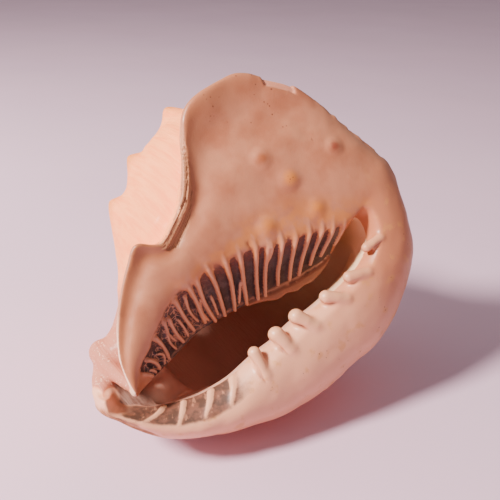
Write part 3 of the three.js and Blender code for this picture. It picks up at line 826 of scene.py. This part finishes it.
def weathered(at):
    """How far the skin stands out from the smooth shell: growth lines, ripples, wear and hollows."""
    height = (1 - at.plate) * (1 - at.inside) * growth_lines(at)
    height += at.plate * (1 - at.inside) * ripples(at)
    height += worn_edge(at) * worn_layers(at)
    height -= chipped_rim(at) * CHIP_DEPTH
    nicks = band(at.station, *NICK_SPAN) * fade(at.rim_gap, *NICK_WIDTH)
    height += nicks * noise(at.points, 3.4, 34) * NICK_DEPTH
    sunk = between_folds(at) * smoothstep(at.place, *UNDER_EDGE_PLACE) * smoothstep(at.fold_gap, 0.2, 1.5)
    height -= sunk * BETWEEN_FOLDS
    height -= tooth_groove(at) * GROOVE_DEPTH
    height += at.inside * noise(at.points, 14, 8) * 0.3
    return height


def skin(field, inner, relief):
    """The shell's surface as points and faces, in millimetres and in the shell's own frame."""
    grid = openvdb.FloatGrid(FIELD_REACH)
    grid.copyFromArray(field, ijk=(0, 0, 0))
    cells, quads = grid.convertToQuads(isovalue=0)
    points = cells.astype(float) * VOXEL + GRID_LOW
    outward = weathered(Places(points, inner, *relief))
    return points + normals_of(field, points) * outward[:, None], quads


def joined_up(count, quads):
    """Which points belong to the piece that holds the most of them."""
    label = np.arange(count)
    while True:
        spread = label.copy()
        np.minimum.at(spread, quads.ravel(), np.repeat(label[quads].min(axis=1), 4))
        spread = spread[spread]
        if np.array_equal(spread, label):
            return label == np.argmax(np.bincount(label))
        label = spread


def decimated(points, quads):
    """A mesh of the largest piece, with no more triangles than the limit."""
    kept = joined_up(len(points), quads)
    quads = quads[kept[quads[:, 0]]]
    number = np.cumsum(kept) - 1
    mesh = bpy.data.meshes.new("shell_skin")
    mesh.from_pydata(points[kept].tolist(), [], number[quads].tolist())
    skin_object = bpy.data.objects.new("shell_skin", mesh)
    bpy.context.scene.collection.objects.link(skin_object)
    modifier = skin_object.modifiers.new("Decimate", "DECIMATE")
    modifier.ratio = min(1.0, TRIANGLE_LIMIT / (2 * len(quads)))
    bpy.context.view_layer.update()
    evaluated = skin_object.evaluated_get(bpy.context.evaluated_depsgraph_get())
    result = bpy.data.meshes.new_from_object(evaluated)
    skin_object.modifiers.clear()
    skin_object.data = result
    bpy.data.meshes.remove(mesh)
    return skin_object


def mesh_points(mesh):
    points = np.empty(len(mesh.vertices) * 3)
    mesh.vertices.foreach_get("co", points)
    return points.reshape(-1, 3)


def mark(mesh, name, *columns):
    """Stores three values per point for the material to read."""
    attribute = mesh.attributes.new(name, "FLOAT_VECTOR", "POINT")
    values = np.stack(np.broadcast_arrays(*columns), -1).astype(np.float32)
    attribute.data.foreach_set("vector", values.ravel())


def knob_spots(at):
    """How far each point lies in the red and in the yellow spots of the shield's knobs."""
    red, yellow = np.zeros(len(at.points)), np.zeros(len(at.points))
    for x, y, width, share in SHIELD_KNOBS:
        apart = np.hypot(at.points[:, 0] - x, at.points[:, 1] - y) + noise(at.points, 3, 41) * 0.8
        spot = fade(apart, width * 0.2, width * 0.72)
        red = np.maximum(red, spot * (1 - share))
        yellow = np.maximum(yellow, spot * share)
    on_shield = at.plate * (1 - at.lip)
    return red * on_shield, yellow * on_shield


def stains(at):
    """How dark the floor between the folds and the slope inside the lip are."""
    narrowed = at.fold_gap - 2.0 * smoothstep(at.place, 0.6, 1.1)
    between = between_folds(at) * smoothstep(narrowed, 0.0, 0.8)
    slope = at.lip * fade(at.place, *STAINED_SLOPE_TOP) * smoothstep(at.tooth_gap, 0.0, 1.0)
    return between, slope * band(at.station, *STAINED_SLOPE_SPAN)


def mark_all(mesh, at):
    """Stores what the material reads: shares, tens of stations, and lengths in tens or hundreds of mm."""
    x, y, z = at.points.T
    outside = (1 - at.plate) * (1 - at.inside)
    mark(mesh, "grown", x / 10, y / 10, z / 10)
    mark(mesh, "coil", x / 100, np.cos(at.turn), np.sin(at.turn))
    mark(mesh, "part", at.plate, at.lip, at.inside)
    # The first two values are real stains; the third marks the grooves beside the larger teeth, where shade
    # is painted
    mark(mesh, "stain", *stains(at), tooth_groove(at))
    mark(mesh, "spots", *knob_spots(at), chipped_rim(at))
    canal = fade(x, *SNOUT_FADE) * outside + fade(x, *CANAL_FADE) * at.inside
    radius = np.hypot(y - AXIS_Y, (z - AXIS_Z) / FLATTEN)
    knob = smoothstep(knob_height(np.degrees(at.turn), x, radius) * outside, 1, 7)
    ledges = [ledge_rows(share) for share in LEDGE_SHARES]
    mark(mesh, "tint", canal, knob, fade(bars_gap(at.points, ledges), 0.2, 1.0))
    tooth = fade(at.tooth_gap, -0.3, 0.9)
    fold = fade(at.fold_gap, -0.2, 0.5)
    mark(mesh, "raised", tooth, fold, worn_edge(at))
    mark(mesh, "where", at.station / 10, at.place, at.across_rim / 10)
    mark(mesh, "depth", smoothstep(at.to_face, 1, 34), at.rim_gap / 10, smoothstep(x, *FAR_END_FADE))


def linear(colour):
    """A colour of 0 to 255 as the shader's own values."""
    shares = [value / 255 for value in colour]
    return (*(s / 12.92 if s <= 0.04045 else ((s + 0.055) / 1.055) ** 2.4 for s in shares), 1)


class Shades:
    """Short ways to add a material's nodes."""

    def __init__(self, name):
        self.material = bpy.data.materials.new(name)
        self.material.use_nodes = True
        self.nodes = self.material.node_tree.nodes
        self.links = self.material.node_tree.links
        self.shader = self.nodes["Principled BSDF"]

    def feed(self, socket, value):
        if isinstance(value, bpy.types.NodeSocket):
            self.links.new(value, socket)
        elif isinstance(value, tuple) and len(value) == 3 and socket.type == "RGBA":
            socket.default_value = linear(value)
        else:
            socket.default_value = value

    def node(self, kind, inputs=(), **settings):
        """A new node with its settings, and with values or links on its inputs."""
        node = self.nodes.new("ShaderNode" + kind)
        for name, value in settings.items():
            setattr(node, name, value)
        for key, value in dict(inputs).items():
            self.feed(node.inputs[key], value)
        return node

    def attribute(self, name):
        return self.node("Attribute", attribute_name=name).outputs["Vector"]

    def split(self, name):
        return self.node("SeparateXYZ", {0: self.attribute(name)}).outputs

    def math(self, operation, *values):
        return self.node("Math", enumerate(values), operation=operation).outputs[0]

    def times(self, *values):
        result = values[0]
        for value in values[1:]:
            result = self.math("MULTIPLY", result, value)
        return result

    def rest(self, value):
        return self.math("SUBTRACT", 1.0, value)

    def noise(self, places, scale, detail=3.0, stretch=(1, 1, 1), roughness=0.55):
        stretched = self.node("Mapping", {"Vector": places, "Scale": stretch}).outputs[0]
        inputs = {"Vector": stretched, "Scale": scale, "Detail": detail, "Roughness": roughness}
        return self.node("TexNoise", inputs).outputs["Fac"]

    def warped(self, places, scale, amount):
        """Places pushed about a little, so that what is laid on them loses its straight lines."""
        push = self.node("TexNoise", {"Vector": places, "Scale": scale}).outputs["Color"]
        inputs = {0: push, 1: (amount, amount, amount), 2: places}
        return self.node("VectorMath", inputs, operation="MULTIPLY_ADD").outputs[0]

    def cells(self, places, scale, feature="F1"):
        inputs = {"Vector": places, "Scale": scale}
        return self.node("TexVoronoi", inputs, feature=feature).outputs["Distance"]

    def step(self, value, low, high):
        """0 below low, 1 above high and smooth between; high under low turns it round."""
        start, end = (0.0, 1.0) if low < high else (1.0, 0.0)
        inputs = {"Value": value, "From Min": min(low, high), "From Max": max(low, high)}
        inputs.update({"To Min": start, "To Max": end})
        return self.node("MapRange", inputs, interpolation_type="SMOOTHSTEP").outputs[0]

    def mix(self, share, a, b):
        return self.node("Mix", {0: share, 6: a, 7: b}, data_type="RGBA").outputs[2]

    def bump(self, height, distance, before=None):
        inputs = {"Height": height, "Distance": distance}
        if before is not None:
            inputs["Normal"] = before
        return self.node("Bump", inputs).outputs[0]


def shell_inputs(s):
    """The values stored per point, and the noises that break up the colours."""
    m = SimpleNamespace(grown=s.attribute("grown"), coil=s.attribute("coil"), across=s.attribute("where"))
    m.plate, m.lip, m.inside = s.split("part")
    # The third value is where shade is painted into the grooves beside the larger teeth
    m.between, m.stained_slope, m.tooth_line = s.split("stain")
    m.red, m.yellow, m.chip = s.split("spots")
    m.canal, m.knob, m.ledge = s.split("tint")
    m.tooth, m.fold, m.worn = s.split("raised")
    m.station, m.place, _ = s.split("where")
    m.depth, m.rim_gap, m.far_end = s.split("depth")
    m.clouds = s.noise(m.grown, 0.35, 3)
    m.mottle = s.noise(m.grown, 1.1, 5)
    m.grain = s.noise(m.grown, 6.0, 4)
    m.specks = s.cells(m.grown, 2.6)
    return m


def body_colour(s, m):
    threads = s.noise(m.coil, 4.0, 5, (9, 0.6, 0.6), 0.6)
    body = s.mix(s.step(threads, 0.38, 0.66), BODY_LIGHT, BODY_DEEP)
    body = s.mix(s.times(m.knob, s.step(m.mottle, 0.3, 0.55), 0.9), body, BODY_KNOB)
    flecks = s.step(s.cells(s.warped(m.grown, 4.0, 0.3), 6.0), 0.4, 0.15)
    snout = s.mix(s.times(flecks, s.step(m.mottle, 0.42, 0.58), 0.7), SNOUT_PINK, SNOUT_SPECK)
    return s.mix(s.times(m.canal, 0.9), body, snout)


def shield_colour(s, m):
    shield = s.mix(s.step(m.clouds, 0.35, 0.68), SHIELD_LIGHT, SHIELD_DEEP)
    for inner, outer, past, gone in ((2.4, 0.3, 1.5, 1.2), (0.75, 0.35, 0.62, 0.5)):
        near_rim = s.times(s.step(m.rim_gap, inner, outer), s.step(m.station, past, gone), 0.6)
        shield = s.mix(near_rim, shield, SHIELD_TAN)
    tip = s.times(s.step(m.rim_gap, 0.22, 0.08), s.step(m.station, 0.3, 0.12))
    shield = s.mix(tip, shield, TIP_EDGE)
    above = s.times(s.step(m.place, 1.3, 1.08), s.step(m.station, 0.35, 0.6), s.step(m.mottle, 0.36, 0.56))
    shield = s.mix(s.times(above, 0.55), shield, KNOB_YELLOW)
    pits = s.times(s.step(m.specks, 0.18, 0.1), s.step(m.mottle, 0.47, 0.53), s.step(m.rim_gap, 3.9, 3.0))
    pits = s.times(pits, s.step(m.station, 1.12, 1.2), s.step(m.station, 1.48, 1.4))
    shield = s.mix(s.times(pits, 0.85), shield, PIT)
    shield = s.mix(s.times(m.red, 0.85), shield, KNOB_RED)
    shield = s.mix(s.times(m.yellow, 0.8), shield, KNOB_YELLOW)
    holes = s.times(s.step(s.cells(m.grown, 5.5), 0.3, 0.16), s.step(m.yellow, 0.86, 0.96))
    return s.mix(s.times(holes, 0.8), shield, PIT)


def lip_colour(s, m):
    lower = s.math("ADD", s.step(m.station, 2.1, 2.7), s.times(m.clouds, 0.5))
    lip = s.mix(s.step(lower, 0.2, 1.0), LIP_DEEP, LIP_LIGHT)
    lip = s.mix(s.times(s.step(m.mottle, 0.56, 0.7), 0.6), lip, LIP_YELLOW)
    pits = s.times(s.step(m.specks, 0.15, 0.08), s.step(m.mottle, 0.52, 0.6), s.step(m.place, 1.15, 1.3))
    return s.mix(s.times(pits, 0.75), lip, PIT)


def between_colour(s, m, face):
    """Lays the dark floor between the folds on the face, with its ragged orange edge and pale threads."""
    threads = s.step(s.cells(s.warped(m.grown, 1.6, 0.6), 2.5, "DISTANCE_TO_EDGE"), 0.1, 0.04)
    threads = s.times(threads, s.step(m.station, 0.8, 0.35), s.step(m.mottle, 0.42, 0.54), 0.85)
    gap = s.mix(s.step(m.mottle, 0.4, 0.6), STAIN_DARK, STAIN_GREY)
    gap = s.mix(s.times(s.step(m.place, 0.55, 0.95), s.step(m.station, 0.3, 0.8), 0.8), gap, STAIN_MAROON)
    gap = s.mix(s.times(s.step(m.place, 0.55, 0.95), s.step(m.grain, 0.45, 0.62), 0.5), gap, STAIN_ORANGE)
    gap = s.mix(threads, gap, THREAD)
    halo = s.times(s.step(m.between, 0.02, 0.3), s.step(m.mottle, 0.36, 0.6))
    face = s.mix(s.times(halo, 0.6), face, STAIN_ORANGE)
    return s.mix(s.step(s.math("ADD", m.between, s.times(m.grain, 0.3)), 0.3, 0.6), face, gap)


def slope_colour(s, m, face):
    """Lays the stained slope inside the lip on the face, with its blotches and scratches, the teeth and the
    painted shade in their grooves.
    """
    stained = s.step(s.math("ADD", m.stained_slope, s.times(m.mottle, 0.9)), 0.6, 1.25)
    blotches = s.mix(s.step(s.noise(m.grown, 1.5, 5, roughness=0.7), 0.42, 0.6), TOOTH_STAIN, STAIN_PINK)
    face = s.mix(s.times(stained, 0.9), face, blotches)
    face = s.mix(s.times(m.tooth, 0.7), face, TOOTH)
    # Painted shade: a darker brown laid in the grooves beside the larger teeth
    face = s.mix(s.times(m.tooth_line, 0.85), face, TOOTH_GROOVE_SHADE)
    face = s.mix(s.times(m.fold, 0.75), face, FOLD)
    scratches = s.step(s.noise(m.across, 5.0, 4, (9, 0.5, 0.01), 0.6), 0.58, 0.66)
    return s.mix(s.times(stained, scratches, s.rest(m.tooth), 0.6), face, THREAD)


def worn_colour(s, m, face):
    streaks = s.noise(m.across, 6.0, 4, (0.4, 0.01, 3.5), 0.6)
    layers = s.mix(s.step(streaks, 0.4, 0.6), LAYERED_EDGE, LAYERED_LIGHT)
    return s.mix(s.times(m.chip, 0.85), s.mix(s.times(m.worn, 0.9), face, layers), CHIP)


def inside_colour(s, m):
    deep = s.math("ADD", s.times(m.depth, 0.85), s.times(m.mottle, 0.3))
    interior = s.mix(s.times(m.far_end, 0.75), s.mix(deep, INSIDE_LIGHT, INSIDE_DEEP), INSIDE_TAN)
    return s.mix(m.canal, interior, s.mix(s.step(m.mottle, 0.4, 0.62), CANAL_GREY, STAIN_PINK))


def shell_finish(s, m):
    """The gloss of the glazed face, the duller rest, and the fine relief."""
    rough = s.math("ADD", 0.36, s.times(m.grain, 0.12))
    rough = s.math("ADD", rough, s.times(s.rest(m.plate), s.rest(m.inside), 0.3))
    dull = s.math("MAXIMUM", m.worn, s.math("MAXIMUM", m.between, m.chip))
    s.feed(s.shader.inputs["Roughness"], s.math("ADD", rough, s.times(dull, 0.2)))
    for name, value in FINISH.items():
        s.shader.inputs[name].default_value = value
    fine = s.times(s.noise(m.coil, 9.0, 4, (8, 0.6, 0.6), 0.6), s.rest(m.plate))
    grain = s.times(s.noise(m.grown, 9.0, 3), s.math("ADD", 0.25, m.between))
    s.feed(s.shader.inputs["Normal"], s.bump(grain, GRAIN_DEPTH, s.bump(fine, THREAD_DEPTH)))


def shell_material():
    s = Shades("shell_surface")
    m = shell_inputs(s)
    face = s.mix(m.lip, shield_colour(s, m), lip_colour(s, m))
    for lay in (between_colour, slope_colour, worn_colour):
        face = lay(s, m, face)
    off_bars = s.rest(s.math("MAXIMUM", m.tooth, m.fold))
    colour = s.mix(m.plate, body_colour(s, m), face)
    colour = s.mix(s.times(m.inside, off_bars), colour, inside_colour(s, m))
    colour = s.mix(s.times(m.ledge, off_bars, 0.9), colour, LEDGE_BROWN)
    s.feed(s.shader.inputs["Base Color"], colour)
    shell_finish(s, m)
    return s.material


def rest_turn():
    """Turns the shell's own frame to the one it rests in."""
    up = -Vector(REST_DOWN).normalized()
    front = Vector(REST_FRONT)
    front = (front - up * front.dot(up)).normalized()
    right = (-front).cross(up)
    return Matrix((right, -front, up)).to_4x4()


def build_shell():
    relief = relief_rows()
    field, inner = shell_fields(*relief[:2])
    shell = decimated(*skin(field, inner, relief))
    mark_all(shell.data, Places(mesh_points(shell.data), inner, *relief))
    turn = rest_turn()
    turned = mesh_points(shell.data) @ np.array(turn.to_3x3()).T
    middle = (turned.min(0) + turned.max(0)) / 2
    shift = Vector((-middle[0], -middle[1], -turned[:, 2].min()))
    place = Matrix.Scale(MM, 4) @ Matrix.Translation(shift) @ turn
    shell.data.transform(place)
    shell.data.shade_smooth()
    shell.data.materials.append(shell_material())
    return shell, place


def floor():
    bpy.ops.mesh.primitive_plane_add(size=FLOOR_SIZE)
    table = bpy.context.object
    table.name = "floor"
    s = Shades("floor_surface")
    cloud = s.noise(s.node("TexCoord").outputs["Object"], 3.0, 3)
    s.feed(s.shader.inputs["Base Color"], s.mix(cloud, FLOOR, FLOOR_CLOUD))
    s.shader.inputs["Roughness"].default_value = FLOOR_ROUGHNESS
    table.data.materials.append(s.material)


def area_light(name, place, size, power, colour):
    data = bpy.data.lights.new(name, "AREA")
    data.shape = "DISK"
    data.size = size
    data.energy = power
    data.color = colour
    light = bpy.data.objects.new(name, data)
    bpy.context.scene.collection.objects.link(light)
    light.location = place
    light.rotation_euler = (Vector(LIGHT_AIM) - Vector(place)).to_track_quat("-Z", "Y").to_euler()


def lights():
    area_light("key", *KEY_LIGHT)
    area_light("fill", *FILL_LIGHT)
    world = bpy.data.worlds.new("studio")
    world.use_nodes = True
    background = world.node_tree.nodes["Background"]
    background.inputs["Color"].default_value = linear(SKY)
    background.inputs["Strength"].default_value = SKY_STRENGTH
    bpy.context.scene.world = world


def camera(place):
    data = bpy.data.cameras.new("camera")
    data.angle = math.radians(VIEW_ANGLE)
    data.clip_start = 0.01
    view = bpy.data.objects.new("camera", data)
    bpy.context.scene.collection.objects.link(view)
    turn = place.to_3x3().normalized()
    right, up = turn @ Vector(CAMERA_RIGHT), turn @ Vector(CAMERA_UP)
    axes = Matrix((right, up, right.cross(up))).transposed().to_4x4()
    view.matrix_world = Matrix.Translation(place @ Vector(CAMERA_PLACE)) @ axes
    bpy.context.scene.camera = view


def main():
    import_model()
    shell, place = build_shell()
    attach(shell, "root")
    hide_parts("shell")
    floor()
    lights()
    camera(place)


main()
